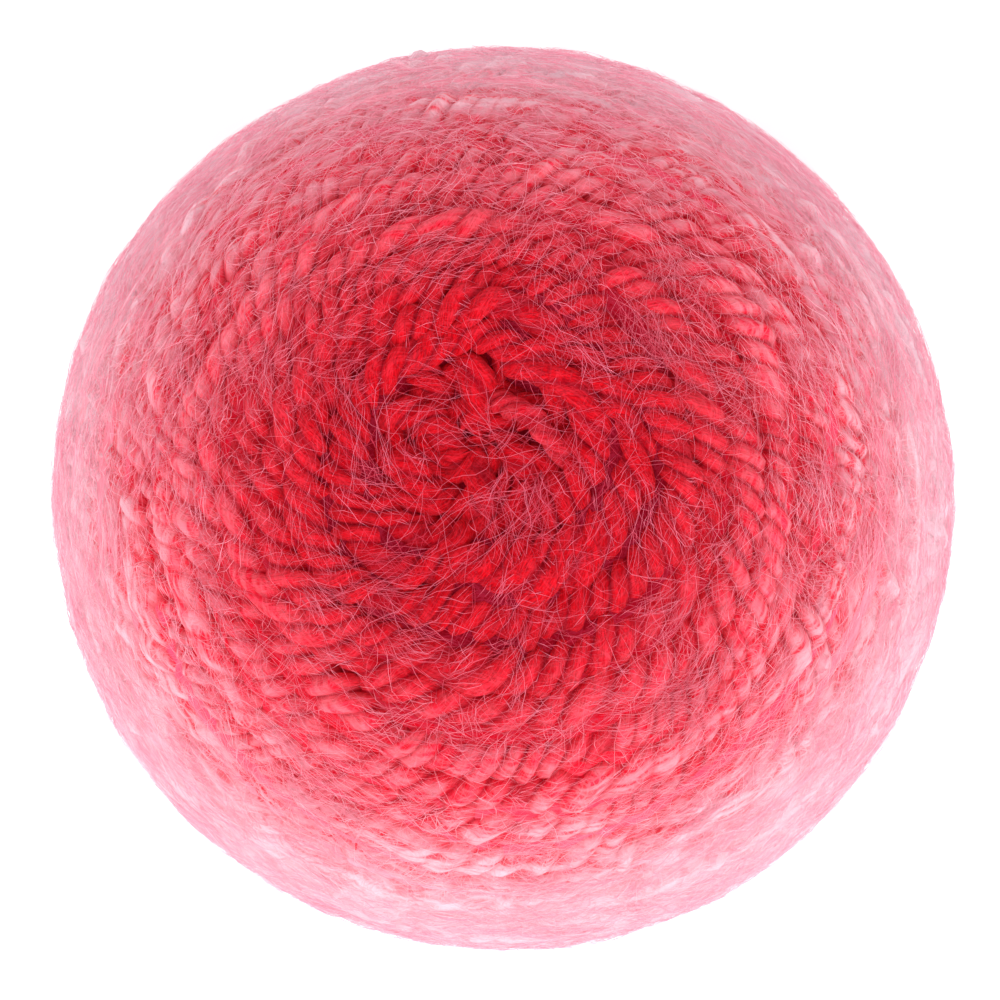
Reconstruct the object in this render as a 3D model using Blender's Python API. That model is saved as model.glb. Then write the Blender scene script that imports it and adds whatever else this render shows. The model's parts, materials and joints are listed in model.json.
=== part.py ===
"""A skein of thick plied yarn, wound into a round centre-pull ball that stands on one end.

The yarn is one solid: the ball's wound form with every turn of the winding raised on it, the
sunken crown with the strands that cross it, and a small flat spot to rest on.

The frame: +Z is the winding axis, the origin is the middle of the flat spot, lengths are metres.
Run it with blender --background --python part.py, or from Blender's text editor.
"""

import math
from typing import NamedTuple

import bpy
import numpy as np

MM = 0.001

# The ball, at the crests of its turns
BALL_RADIUS = 75.0 * MM
HALF_HEIGHT = 73.5 * MM
CENTRE_HEIGHT = 70.0 * MM

# The yarn and its winding
YARN_PITCH = 6.3 * MM
YARN_RADIUS = 3.4 * MM
TURNS = math.pi * HALF_HEIGHT / YARN_PITCH
EVEN_END_TURNS = 3.0

# The crown: where the eye of the winding sits, and how it is widened and sunk
EYE_LEAN = math.radians(9.1)
EYE_HEADING = math.radians(121.0)
EYE_REACH = math.radians(62.0)
EYE_OVAL = 0.08
DIMPLE_DEPTH = 6.0 * MM
DIMPLE_REACH = math.radians(17.0)

# The regular turns start outside the core, whose floor lies about a layer of yarn lower
CORE_TURNS = 2.85
CORE_BLEND = 0.25
CORE_SUNK = 5.0 * MM

# The turns flatten out over this height as they come down to the flat spot
FLAT_FADE = 4.0 * MM

# The grid that the ball is made of: fine steps over the crown, then for each turn the two edges
# of its rounded top and the groove after it, as shares of a turn
COLUMNS = 48
FINE_TURNS = 5
FINE_STEP = 0.25
TURN_PROFILE = (-0.20, 0.20, 0.50)

ROUTE_STEPS = 8

YARN_COLOUR = (0.72, 0.030, 0.055, 1.0)
YARN_ROUGHNESS = 0.95


class Lump(NamedTuple):
    """A slow rise and fall of the ball's surface, with its number of beats round and down it."""

    height: float
    around: int
    down: float
    phase: float


LUMPS = (
    Lump(height=0.30 * MM, around=2, down=2.0, phase=0.4),
    Lump(height=0.22 * MM, around=3, down=4.0, phase=2.1),
    Lump(height=0.18 * MM, around=5, down=3.0, phase=4.0),
)


class Wave(NamedTuple):
    """A wave that runs along the winding, with its beats round the ball and from turn to turn."""

    size: float
    around: int
    beats: float
    phase: float


# How far the turns wander sideways, as shares of a turn
WANDER = (
    Wave(size=0.22, around=3, beats=0.09, phase=0.7),
    Wave(size=0.12, around=5, beats=0.17, phase=2.9),
    Wave(size=0.05, around=2, beats=0.35, phase=5.1),
)

# How far the turns stand proud, which is this much more over the crown and fades between two turns
CROWN_UNEVEN = 2.8
UNEVEN_FROM = 8.0
UNEVEN_TO = 18.0
PROUD = (
    Wave(size=0.22 * MM, around=2, beats=0.61, phase=1.3),
    Wave(size=0.18 * MM, around=4, beats=0.37, phase=3.7),
    Wave(size=0.14 * MM, around=7, beats=0.19, phase=0.2),
)


class CrownStrand(NamedTuple):
    """A strand that crosses the crown: its crest against the ball's envelope, and its route.

    Its thickness is a share of the yarn's. The route is seen from above, in metres from the
    winding axis.
    """

    crest: float
    thickness: float
    route: tuple[tuple[float, float], ...]


def crown_strand(crest_mm, thickness, *route_mm):
    """A crown strand whose crest and route are given in millimetres."""
    return CrownStrand(crest_mm * MM, thickness, tuple((x * MM, y * MM) for x, y in route_mm))


CROWN_STRANDS = {
    "left_top": crown_strand(-2.4, 0.85, (-21, 27), (-15.5, 23.5), (-12, 19.5), (-10, 15)),
    "left_bow": crown_strand(-2.0, 1.0, (-26, 13), (-20, 15), (-13.5, 14), (-9.5, 9.5), (-9, 4)),
    "left_arc": crown_strand(-2.2, 1.0, (-31, 12), (-27, 4), (-21.5, -2), (-16, -6.5), (-8, -8), (-1, -6)),
    "left_inner": crown_strand(-2.6, 0.9, (-22, 10), (-17, 5), (-13.5, 0), (-9, -4)),
    "right_slant": crown_strand(-2.0, 1.0, (15, 3), (8, 1.5), (3, -1), (-2, -4.5)),
    "right_inner": crown_strand(-2.5, 0.85, (10.5, 7.5), (5, 6), (1, 8), (-1.5, 12)),
    "heart": crown_strand(-1.5, 0.95, (-5.5, 10), (-4, 4.5), (-3, -1), (-5.5, -6)),
    "upright": crown_strand(-0.8, 0.9, (-7.5, 28), (-5.4, 22), (-4.4, 17), (-5, 12)),
    "hook": crown_strand(-0.7, 0.85, (-1.5, 23), (3.6, 24.6), (8.4, 22), (9.4, 17), (8.4, 11)),
    "lower_sweep": crown_strand(-0.2, 1.05, (-12, -13), (-4, -11.5), (5, -9.3), (13, -6.6), (20, -2)),
    "bridge": crown_strand(0.2, 0.62, (-3, 17.5), (0.6, 16), (4.6, 12.8), (8.6, 9.2), (12, 4.5)),
}


def clear_scene():
    """Removes every object of the startup scene."""
    for obj in list(bpy.data.objects):
        bpy.data.objects.remove(obj, do_unlink=True)


def smooth_step(low, high, value):
    """0 below low, 1 above high, and an S-curve between them."""
    share = np.clip((value - low) / (high - low), 0.0, 1.0)
    return share * share * (3.0 - 2.0 * share)


def waves(table, turn, angle):
    """The sum of a table's waves, each of which runs on unbroken from one turn to the next."""
    return sum(
        wave.size * np.sin(wave.around * angle + 2.0 * math.pi * wave.beats * turn + wave.phase)
        for wave in table
    )


def winding_direction(turn, angle):
    """The unit direction from the ball's centre to a point of the winding.

    turn grows by one each time round, from 0 at the eye to TURNS at the foot, and angle is the
    place round the axis. The eye is oval and leans off the axis, and both fade out by EYE_REACH.
    """
    turn = np.clip(turn, 0.0, TURNS)
    off_ends = smooth_step(0.0, EVEN_END_TURNS, np.minimum(turn, TURNS - turn))
    polar = math.pi / TURNS * (turn + off_ends * waves(WANDER, turn, angle))
    near_eye = 1.0 - smooth_step(0.0, EYE_REACH, polar)
    polar = polar * (1.0 + EYE_OVAL * near_eye * np.cos(2.0 * angle))
    x = np.sin(polar) * np.cos(angle)
    y = np.sin(polar) * np.sin(angle)
    z = np.cos(polar)
    lean = EYE_LEAN * near_eye
    along = x * math.cos(EYE_HEADING) + y * math.sin(EYE_HEADING)
    shift = along * np.cos(lean) + z * np.sin(lean) - along
    x = x + shift * math.cos(EYE_HEADING)
    y = y + shift * math.sin(EYE_HEADING)
    z = z * np.cos(lean) - along * np.sin(lean)
    return np.stack([x, y, z], axis=-1)


def proud_height(turn, angle):
    """How far the turns stand proud of the even winding, most over the crown."""
    crown = 1.0 - smooth_step(UNEVEN_FROM, UNEVEN_TO, turn)
    off_ends = smooth_step(0.0, EVEN_END_TURNS, np.minimum(turn, TURNS - turn))
    return off_ends * (1.0 + (CROWN_UNEVEN - 1.0) * crown) * waves(PROUD, turn, angle)


def lump_height(direction):
    """The slow rise and fall of the ball's surface, none at its two ends."""
    angle = np.arctan2(direction[..., 1], direction[..., 0])
    polar = np.arccos(np.clip(direction[..., 2], -1.0, 1.0))
    lumps = sum(
        lump.height * np.sin(lump.around * angle + lump.phase) * np.cos(lump.down * polar + lump.phase)
        for lump in LUMPS
    )
    return lumps * np.sin(polar)


def envelope_radius(direction):
    """From the centre to the crests of the turns: an uneven ellipsoid with a dimple at its eye."""
    across = np.hypot(direction[..., 0], direction[..., 1]) / BALL_RADIUS
    upright = direction[..., 2] / HALF_HEIGHT
    eye = winding_direction(0.0, 0.0)
    from_eye = np.arccos(np.clip(direction @ eye, -1.0, 1.0))
    dimple = DIMPLE_DEPTH * np.exp(-((from_eye / DIMPLE_REACH) ** 2))
    return 1.0 / np.hypot(across, upright) + lump_height(direction) - dimple


def round_section(offset, radius):
    """How far a strand's surface lies against its crest, at a sideways offset from its middle."""
    inside = np.minimum(np.abs(offset), radius)
    return np.sqrt(radius**2 - inside**2) - radius


def smooth_route(points):
    """Points along a Catmull-Rom curve through the given ones."""
    knots = np.array(points)
    knots = np.vstack([2 * knots[0] - knots[1], knots, 2 * knots[-1] - knots[-2]])
    before, start, end, after = knots[:-3], knots[1:-2], knots[2:-1], knots[3:]
    share = np.linspace(0.0, 1.0, ROUTE_STEPS, endpoint=False)[:, None, None]
    linear = end - before
    square = 2 * before - 5 * start + 4 * end - after
    cubic = 3 * (start - end) + after - before
    curve = start + 0.5 * (linear * share + square * share**2 + cubic * share**3)
    return np.vstack([curve.transpose(1, 0, 2).reshape(-1, 2), knots[-2]])


def crown_relief(plan):
    """The highest of the crown's strands over each point seen from above, or its floor."""
    relief = np.full(plan.shape[:-1], -CORE_SUNK)
    for strand in CROWN_STRANDS.values():
        radius = strand.thickness * YARN_RADIUS
        route = smooth_route(strand.route)
        offset = np.linalg.norm(plan[..., None, :] - route, axis=-1).min(axis=-1)
        raised = np.maximum(relief, strand.crest + round_section(offset, radius))
        relief = np.where(offset < radius, raised, relief)
    return relief


def turn_relief(rows, turn, angle):
    """The regular turns as a rounded ridge each, which sinks to the core's floor at the crown."""
    off_crest = (rows - np.round(rows))[:, None] * YARN_PITCH
    ridge = round_section(off_crest, YARN_RADIUS) + proud_height(turn, angle)
    regular = smooth_step(CORE_TURNS - CORE_BLEND, CORE_TURNS + CORE_BLEND, turn)
    return ridge * regular - CORE_SUNK * (1.0 - regular)


def winding_rows():
    """The turn at which each row of the grid starts, from a turn above the eye to the foot."""
    fine = np.arange(-1.0, FINE_TURNS - 0.5 + FINE_STEP, FINE_STEP)
    whole = np.arange(FINE_TURNS, math.ceil(TURNS) + 1)
    coarse = (whole[:, None] + np.array(TURN_PROFILE)).ravel()
    return np.concatenate([fine, coarse])


def winding_points(rows):
    """The turn and the place of each point of the grid, a row down the winding, a column round it.

    A row runs once round while the winding goes down one turn, so it meets a later row at the
    seam. Crests lie on whole rows and grooves on half ones.
    """
    share = np.arange(COLUMNS) / COLUMNS
    turn = rows[:, None] + share
    angle = np.broadcast_to(2.0 * math.pi * share, turn.shape)
    direction = winding_direction(turn, angle)
    envelope = envelope_radius(direction)
    plan = direction[..., :2] * envelope[..., None]
    height = CENTRE_HEIGHT + direction[..., 2] * envelope
    relief = np.maximum(turn_relief(rows, turn, angle), crown_relief(plan))
    relief = relief * smooth_step(0.0, FLAT_FADE, height)
    points = direction * (envelope + relief)[..., None]
    points[..., 2] = np.maximum(points[..., 2] + CENTRE_HEIGHT, 0.0)
    return turn, points


def winding_faces(rows, turn):
    """The grid's faces as point numbers, with each end drawn to one point and the seam closed."""
    number = np.arange(turn.size).reshape(turn.shape)
    number[turn <= 0.0] = number[0, 0]
    number[turn >= TURNS] = number[-1, -1]
    next_turn = np.abs(rows[:, None] + 1.0 - rows).argmin(axis=1)
    seam = np.where(rows + 1.0 > rows[-1], number[-1, -1], number[next_turn, 0])
    ring = np.column_stack([number, seam])
    corners = np.stack([ring[:-1, :-1], ring[1:, :-1], ring[1:, 1:], ring[:-1, 1:]], axis=-1)
    faces = [list(dict.fromkeys(face)) for face in corners.reshape(-1, 4).tolist()]
    return [face for face in faces if len(face) > 2]


def yarn_material():
    """Red brushed yarn."""
    material = bpy.data.materials.new("red_yarn")
    material.use_nodes = True
    shader = material.node_tree.nodes["Principled BSDF"]
    shader.inputs["Base Color"].default_value = YARN_COLOUR
    shader.inputs["Roughness"].default_value = YARN_ROUGHNESS
    shader.inputs["Metallic"].default_value = 0.0
    return material


def build_ball():
    """Makes the wound ball as one closed mesh, with the middle of its outline over the origin."""
    rows = winding_rows()
    turn, points = winding_points(rows)
    corners = points.reshape(-1, 3)
    middle = (corners.min(axis=0) + corners.max(axis=0)) / 2.0
    corners[:, :2] -= middle[:2]
    mesh = bpy.data.meshes.new("wound_yarn")
    mesh.from_pydata(corners.tolist(), [], winding_faces(rows, turn))
    mesh.materials.append(yarn_material())
    ball = bpy.data.objects.new("wound_yarn", mesh)
    bpy.context.scene.collection.objects.link(ball)


clear_scene()
build_ball()
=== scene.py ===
"""A skein of thick brushed red yarn, wound into a round centre-pull ball that stands on one end.

The ball is dressed in four layers, from the inside out: the layer of yarn under the outer one,
painted dark with shade at the crown, the outer turns as one long three-ply strand, the loose
strands that cross the crown, and the halo of fine fibres that brushing has raised. Lengths are
metres and +Z is the winding axis.
"""

from __future__ import annotations

import json
import logging
import math
from dataclasses import dataclass, field
from enum import Enum

import bpy
import numpy as np
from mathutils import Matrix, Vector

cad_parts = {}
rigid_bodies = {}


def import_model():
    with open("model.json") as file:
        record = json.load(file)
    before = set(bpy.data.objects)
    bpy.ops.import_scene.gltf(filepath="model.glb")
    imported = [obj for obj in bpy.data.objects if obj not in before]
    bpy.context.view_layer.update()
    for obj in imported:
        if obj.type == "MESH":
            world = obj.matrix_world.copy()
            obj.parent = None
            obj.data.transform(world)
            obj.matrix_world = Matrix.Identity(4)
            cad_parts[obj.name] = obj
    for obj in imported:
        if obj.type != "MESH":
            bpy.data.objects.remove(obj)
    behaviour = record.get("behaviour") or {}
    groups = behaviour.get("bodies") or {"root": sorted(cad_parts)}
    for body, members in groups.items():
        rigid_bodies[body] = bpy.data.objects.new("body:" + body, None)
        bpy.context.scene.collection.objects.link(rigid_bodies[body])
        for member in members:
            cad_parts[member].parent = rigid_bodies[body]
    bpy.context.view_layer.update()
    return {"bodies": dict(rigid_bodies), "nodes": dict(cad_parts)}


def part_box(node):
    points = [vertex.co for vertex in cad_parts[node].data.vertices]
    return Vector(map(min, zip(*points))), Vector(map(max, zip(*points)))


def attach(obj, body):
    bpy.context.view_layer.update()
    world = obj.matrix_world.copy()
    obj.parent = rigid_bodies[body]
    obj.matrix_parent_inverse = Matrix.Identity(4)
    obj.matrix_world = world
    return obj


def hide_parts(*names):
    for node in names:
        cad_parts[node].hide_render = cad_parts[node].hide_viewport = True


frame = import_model()

LOG = logging.getLogger("yarn_ball")
Array = np.ndarray
Colour = tuple[float, float, float]
Pair = tuple[float, float]
Socket = bpy.types.NodeSocket

MM = 0.001
TINY = 1e-12
NODE = "wound_yarn"
BODY = "root"


# Small helpers of geometry


def smooth_step(low: float, high: float, value: Array) -> Array:
    """An S-curve that is 0 below low and 1 above high.

    Args:
        low: Where the curve starts to rise.
        high: Where it levels out.
        value: Where it is read.

    Returns:
        3t^2 - 2t^3, where t is the share of the way from low to high.
    """
    share = np.clip((value - low) / (high - low), 0.0, 1.0)
    return share * share * (3.0 - 2.0 * share)


def unit(vectors: Array) -> Array:
    """Vectors of the same directions and length one."""
    return vectors / np.maximum(np.linalg.norm(vectors, axis=-1, keepdims=True), TINY)


def dot(first: Array, second: Array) -> Array:
    """Dot products along the last axis, which is kept."""
    return (first * second).sum(axis=-1, keepdims=True)


def evenly_along(path: Array, step: float) -> tuple[Array, Array]:
    """Where points a fixed step apart along a path lie in its own numbering.

    Args:
        path: Points of a fine polyline, one a row.
        step: The wanted distance between points.

    Returns:
        The fractional row numbers of the points, and their distances from the start.
    """
    pieces = np.linalg.norm(np.diff(path, axis=0), axis=1)
    run = np.concatenate([[0.0], np.cumsum(pieces)])
    count = max(int(round(run[-1] / step)), 2) + 1
    distance = np.linspace(0.0, run[-1], count)
    return np.interp(distance, run, np.arange(len(path))), distance


def drift(place: Array, spacing: float, seed: int) -> Array:
    """Random values from -1 to 1, one every spacing, joined by S-curves.

    Args:
        place: Where along a line the value is wanted, from 0 up.
        spacing: The distance between the random values.
        seed: The seed of the draws.

    Returns:
        The value at each place.
    """
    beat = place / spacing
    whole = np.floor(beat).astype(int)
    values = np.random.default_rng(seed).uniform(-1.0, 1.0, int(whole.max()) + 2)
    share = smooth_step(0.0, 1.0, beat - whole)
    return values[whole] * (1.0 - share) + values[whole + 1] * share


def add_mesh(name: str, points: Array, faces: list[Array]) -> bpy.types.Object:
    """A smooth-shaded mesh object from arrays.

    Args:
        name: The object's and the mesh's name.
        points: One point a row.
        faces: Arrays of point numbers, one face a row, each array with faces of one size.

    Returns:
        The new object, linked to the scene and at the origin.
    """
    loops = np.concatenate([part.ravel() for part in faces]).astype(np.int32)
    sizes = np.concatenate([np.full(len(part), part.shape[1]) for part in faces])
    starts = np.concatenate([[0], np.cumsum(sizes)[:-1]]).astype(np.int32)
    mesh = bpy.data.meshes.new(name)
    mesh.vertices.add(len(points))
    mesh.loops.add(len(loops))
    mesh.polygons.add(len(sizes))
    mesh.vertices.foreach_set("co", points.astype(np.float32).ravel())
    mesh.loops.foreach_set("vertex_index", loops)
    mesh.polygons.foreach_set("loop_start", starts)
    mesh.update(calc_edges=True)
    mesh.shade_smooth()
    made = bpy.data.objects.new(name, mesh)
    bpy.context.scene.collection.objects.link(made)
    return made


def skin(number: Array, first: int, last: int) -> list[Array]:
    """The faces of a closed tube: walls between its rings of points, and a fan at each end.

    Args:
        number: The points' numbers, one ring a row.
        first: The number of the point before the first ring.
        last: The number of the point after the last ring.

    Returns:
        The walls, the first fan and the last, which face outwards where the rings run clockwise,
        seen from the last point.
    """
    after = np.roll(number, -1, axis=1)
    walls = np.stack([number[:-1], number[1:], after[1:], after[:-1]], axis=-1).reshape(-1, 4)
    start = np.column_stack([np.full_like(number[0], first), number[0], after[0]])
    end = np.column_stack([np.full_like(number[0], last), after[-1], number[-1]])
    return [walls, start, end]


def add_point_value(obj: bpy.types.Object, name: str, values: Array) -> None:
    """Stores one number a point under an attribute's name."""
    layer = obj.data.attributes.new(name, "FLOAT", "POINT")
    layer.data.foreach_set("value", values.astype(np.float32).ravel())


def add_point_vector(obj: bpy.types.Object, name: str, vectors: Array) -> None:
    """Stores one vector a point under an attribute's name."""
    layer = obj.data.attributes.new(name, "FLOAT_VECTOR", "POINT")
    layer.data.foreach_set("vector", vectors.astype(np.float32).ravel())


def points_of(obj: bpy.types.Object) -> Array:
    """An object's points.

    Args:
        obj: The mesh object.

    Returns:
        One point a row.
    """
    points = np.zeros(len(obj.data.vertices) * 3, np.float32)
    obj.data.vertices.foreach_get("co", points)
    return points.reshape(-1, 3).astype(float)


def triangles_of(obj: bpy.types.Object) -> int:
    """How many triangles an object's mesh makes."""
    return len(obj.data.loops) - 2 * len(obj.data.polygons)


def seat(obj: bpy.types.Object) -> None:
    """Makes a piece ride on the ball and stand for its solid.

    Args:
        obj: The piece.
    """
    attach(obj, BODY)
    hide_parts(NODE)
    LOG.info("%s: %d triangles", obj.name, triangles_of(obj))


# The wound form


@dataclass(frozen=True)
class Wave:
    """A wave that runs along the winding.

    Attributes:
        size: Its height, in turns where it moves turns sideways and in metres where it lifts them.
        around: How many times it beats round the ball.
        beats: How many times it beats from one turn to the next.
        phase: Where it starts.
    """

    size: float
    around: int
    beats: float
    phase: float

    def at(self, turn: Array, angle: Array) -> Array:
        """size times the sine of around * angle + 2 pi * beats * turn + phase."""
        return self.size * np.sin(self.around * angle + 2.0 * math.pi * self.beats * turn + self.phase)


@dataclass(frozen=True)
class Lump:
    """A slow rise and fall of the ball's surface, with its beats round the ball and down it."""

    height: float
    around: int
    down: float
    phase: float

    def at(self, angle: Array, polar: Array) -> Array:
        """height * sin(around * angle + phase) * cos(down * polar + phase)."""
        across = np.sin(self.around * angle + self.phase)
        return self.height * across * np.cos(self.down * polar + self.phase)


@dataclass(frozen=True)
class Winding:
    """The ball's wound form: where every turn of the yarn runs, with the solid's own sizes."""

    ball_radius: float = 75.0 * MM
    half_height: float = 73.5 * MM
    centre_height: float = 70.0 * MM
    pitch: float = 6.3 * MM
    even_end_turns: float = 3.0
    eye_lean: float = math.radians(9.1)
    eye_heading: float = math.radians(121.0)
    eye_reach: float = math.radians(62.0)
    eye_oval: float = 0.08
    dimple_depth: float = 6.0 * MM
    dimple_reach: float = math.radians(17.0)
    core_turns: float = 2.85
    core_blend: float = 0.25
    core_sunk: float = 5.0 * MM
    flat_fade: float = 4.0 * MM
    lumps: tuple[Lump, ...] = (
        Lump(height=0.30 * MM, around=2, down=2.0, phase=0.4),
        Lump(height=0.22 * MM, around=3, down=4.0, phase=2.1),
        Lump(height=0.18 * MM, around=5, down=3.0, phase=4.0),
    )
    wander: tuple[Wave, ...] = (
        Wave(size=0.22, around=3, beats=0.09, phase=0.7),
        Wave(size=0.12, around=5, beats=0.17, phase=2.9),
        Wave(size=0.05, around=2, beats=0.35, phase=5.1),
    )
    proud: tuple[Wave, ...] = (
        Wave(size=0.22 * MM, around=2, beats=0.61, phase=1.3),
        Wave(size=0.18 * MM, around=4, beats=0.37, phase=3.7),
        Wave(size=0.14 * MM, around=7, beats=0.19, phase=0.2),
    )
    crown_uneven: float = 2.8
    uneven_from: float = 8.0
    uneven_to: float = 18.0
    haze_from: float = math.radians(17.0)
    haze_to: float = math.radians(80.0)
    # Leaning the haze's axis away from the key light paints the side that faces it paler: painted light.
    haze_and_light_lean: float = math.radians(4.6)
    # Less haze down in the grooves, from groove_dark to groove_light under the crests: painted shade.
    groove_dark: float = 2.1 * MM
    groove_light: float = 0.2 * MM
    groove_haze: Pair = (0.3, 1.0)
    matted_from: float = 0.50
    matted_to: float = 0.92
    comb_radius: float = 50.0 * MM
    map_floor: float = -0.9
    centring_turns: int = 75
    centring_columns: int = 96

    @property
    def turns(self) -> float:
        """How often the yarn goes round from the eye to the foot."""
        return math.pi * self.half_height / self.pitch

    @property
    def centre(self) -> Array:
        """The middle of the ball, over the middle of the solid's box.

        Returns:
            The point.
        """
        low, high = (np.array(corner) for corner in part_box(NODE))
        middle = (low + high)[:2] / 2.0 - self.own_middle()
        return np.array([middle[0], middle[1], self.centre_height])

    def own_middle(self) -> Array:
        """The middle of the crests' outline, seen from above, before the ball is centred.

        Returns:
            Its x and y.
        """
        turn, angle = np.meshgrid(
            np.linspace(0.0, self.turns, self.centring_turns),
            np.linspace(0.0, 2.0 * math.pi, self.centring_columns),
        )
        direction = self.direction(turn, angle)
        reach = self.envelope(direction) + self.crest(turn, angle)
        plan = (direction * reach[..., None])[..., :2].reshape(-1, 2)
        return (plan.min(axis=0) + plan.max(axis=0)) / 2.0

    def off_ends(self, turn: Array) -> Array:
        """0 at the eye and at the foot, and 1 a few turns away from both."""
        return smooth_step(0.0, self.even_end_turns, np.minimum(turn, self.turns - turn))

    def direction(self, turn: Array, angle: Array) -> Array:
        """The unit direction from the ball's centre to a point of the winding.

        The polar angle grows by pi / turns each time round and wanders a little. Near the eye it
        is stretched by the cosine of twice the angle, which makes the inner turns oval, and the
        whole crown is leant towards eye_heading. Both fade out by eye_reach.

        Args:
            turn: Turns counted from the eye.
            angle: The place round the axis.

        Returns:
            Unit vectors, along a new last axis.
        """
        turn = np.clip(turn, 0.0, self.turns)
        aside = sum(wave.at(turn, angle) for wave in self.wander)
        polar = math.pi / self.turns * (turn + self.off_ends(turn) * aside)
        near_eye = 1.0 - smooth_step(0.0, self.eye_reach, polar)
        polar = polar * (1.0 + self.eye_oval * near_eye * np.cos(2.0 * angle))
        x, y, z = np.sin(polar) * np.cos(angle), np.sin(polar) * np.sin(angle), np.cos(polar)
        lean = self.eye_lean * near_eye
        east, north = math.cos(self.eye_heading), math.sin(self.eye_heading)
        along = x * east + y * north
        shift = along * np.cos(lean) + z * np.sin(lean) - along
        leant = z * np.cos(lean) - along * np.sin(lean)
        return np.stack([x + shift * east, y + shift * north, leant], axis=-1)

    def envelope(self, direction: Array) -> Array:
        """How far the crests lie from the centre.

        An ellipsoid of the ball's radius and half height, plus its lumps, less a bell-shaped
        dimple round the eye.

        Args:
            direction: Unit vectors from the centre.

        Returns:
            The distance for each.
        """
        across = np.hypot(direction[..., 0], direction[..., 1]) / self.ball_radius
        angle = np.arctan2(direction[..., 1], direction[..., 0])
        polar = np.arccos(np.clip(direction[..., 2], -1.0, 1.0))
        lumps = np.sin(polar) * sum(lump.at(angle, polar) for lump in self.lumps)
        eye = self.direction(np.array(0.0), np.array(0.0))
        from_eye = np.arccos(np.clip(direction @ eye, -1.0, 1.0))
        dimple = self.dimple_depth * np.exp(-((from_eye / self.dimple_reach) ** 2))
        return 1.0 / np.hypot(across, direction[..., 2] / self.half_height) + lumps - dimple

    def crest(self, turn: Array, angle: Array) -> Array:
        """How far the turns' crests stand against the envelope.

        The waves of the proud turns, which grow towards the crown, and core_sunk below the
        envelope in the core of the crown.

        Args:
            turn: Turns counted from the eye.
            angle: The place round the axis.

        Returns:
            Metres outside the envelope.
        """
        crown = 1.0 - smooth_step(self.uneven_from, self.uneven_to, turn)
        lift = self.off_ends(turn) * sum(wave.at(turn, angle) for wave in self.proud)
        lift = lift * (1.0 + (self.crown_uneven - 1.0) * crown)
        core = self.core_turns
        regular = smooth_step(core - self.core_blend, core + self.core_blend, turn)
        return lift * regular - self.core_sunk * (1.0 - regular)

    def lane(self, turn: Array, angle: Array) -> Array:
        """The distance from one turn to the next, as a share of the even pitch."""
        before, after = self.direction(turn - 0.5, angle), self.direction(turn + 0.5, angle)
        return np.linalg.norm(after - before, axis=-1) * self.half_height / self.pitch

    def from_crown(self, direction: Array) -> Array:
        """The angle of a direction from the haze's own axis, which leans towards the eye, so that the side
        facing the key light comes out paler: painted light.

        Args:
            direction: Unit vectors from the centre.

        Returns:
            The angle for each.
        """
        flat, upright = math.sin(self.haze_and_light_lean), math.cos(self.haze_and_light_lean)
        axis = np.array([flat * math.cos(self.eye_heading), flat * math.sin(self.eye_heading), upright])
        return np.arccos(np.clip(direction @ axis, -1.0, 1.0))

    def over(self, direction: Array) -> Array:
        """How far a direction lies from the bare crown, 0, to the hazy belly, 1."""
        return smooth_step(self.haze_from, self.haze_to, self.from_crown(direction))

    def filled(self, direction: Array, limits: Pair) -> Array:
        """The haze in hollows, from the first limit where the halo is thin to the second where thick; what it
        falls short of the crests is painted shade.
        """
        matted = smooth_step(self.matted_from, self.matted_to, self.over(direction))
        return limits[0] + (limits[1] - limits[0]) * matted

    def haze_and_light(self, points: Array) -> Array:
        """How much halo lies over points: none at the crown, most at the belly, partly as painted sheen of
        the fuzz seen edge-on, and less in the grooves as painted shade.

        Args:
            points: Points on or near the ball.

        Returns:
            From 0 to 1 for each.
        """
        beyond = points - self.centre
        direction = unit(beyond)
        rise = np.linalg.norm(beyond, axis=-1) - self.envelope(direction)
        # The haze thins down in the grooves: painted shade.
        open_air = smooth_step(-self.groove_dark, -self.groove_light, rise)
        hollow = self.filled(direction, self.groove_haze)
        return self.over(direction) * (hollow + (1.0 - hollow) * open_air)

    def laid(self, points: Array) -> Array:
        """Points on an equal-area map of the ball, with its middle at the crown.

        Args:
            points: Points on or near the ball.

        Returns:
            The map's two coordinates, x and y times sqrt(2 / (1 + z)) for a unit direction, and
            the height over the envelope, all in millimetres.
        """
        beyond = points - self.centre
        direction = unit(beyond)
        spread = np.sqrt(2.0 / (1.0 + np.maximum(direction[:, 2], self.map_floor)))
        flat = direction[:, :2] * (self.ball_radius * spread)[:, None]
        height = np.linalg.norm(beyond, axis=1) - self.envelope(direction)
        return np.column_stack([flat, height]) / MM

    def combed(self, points: Array) -> Array:
        """Points on a map that runs with the turns, wrapped round a cylinder so it has no seam.

        Args:
            points: Points on or near the ball.

        Returns:
            The cylinder's radius times the cosine and the sine of the place round the axis, and
            the arc down from the crown, all in millimetres.
        """
        direction = unit(points - self.centre)
        around = unit(direction[:, :2]) * self.comb_radius
        down = np.arccos(np.clip(direction[:, 2], -1.0, 1.0)) * self.ball_radius
        return np.column_stack([around, down]) / MM

    def place(self, direction: Array, height: Array, clearance: float = 0.0) -> Array:
        """Points at a height against the envelope, kept off the floor.

        Args:
            direction: Unit vectors from the centre.
            height: Metres outside the envelope.
            clearance: The least height over the floor.

        Returns:
            Points in the row frame. Heights fade out towards the flat spot.
        """
        reach = self.envelope(direction)
        level = self.centre_height + direction[..., 2] * reach
        raised = np.where(height > 0.0, height * smooth_step(0.0, self.flat_fade, level), height)
        points = self.centre + direction * (reach + raised)[..., None]
        points[..., 2] = np.maximum(points[..., 2], clearance)
        return points


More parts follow.
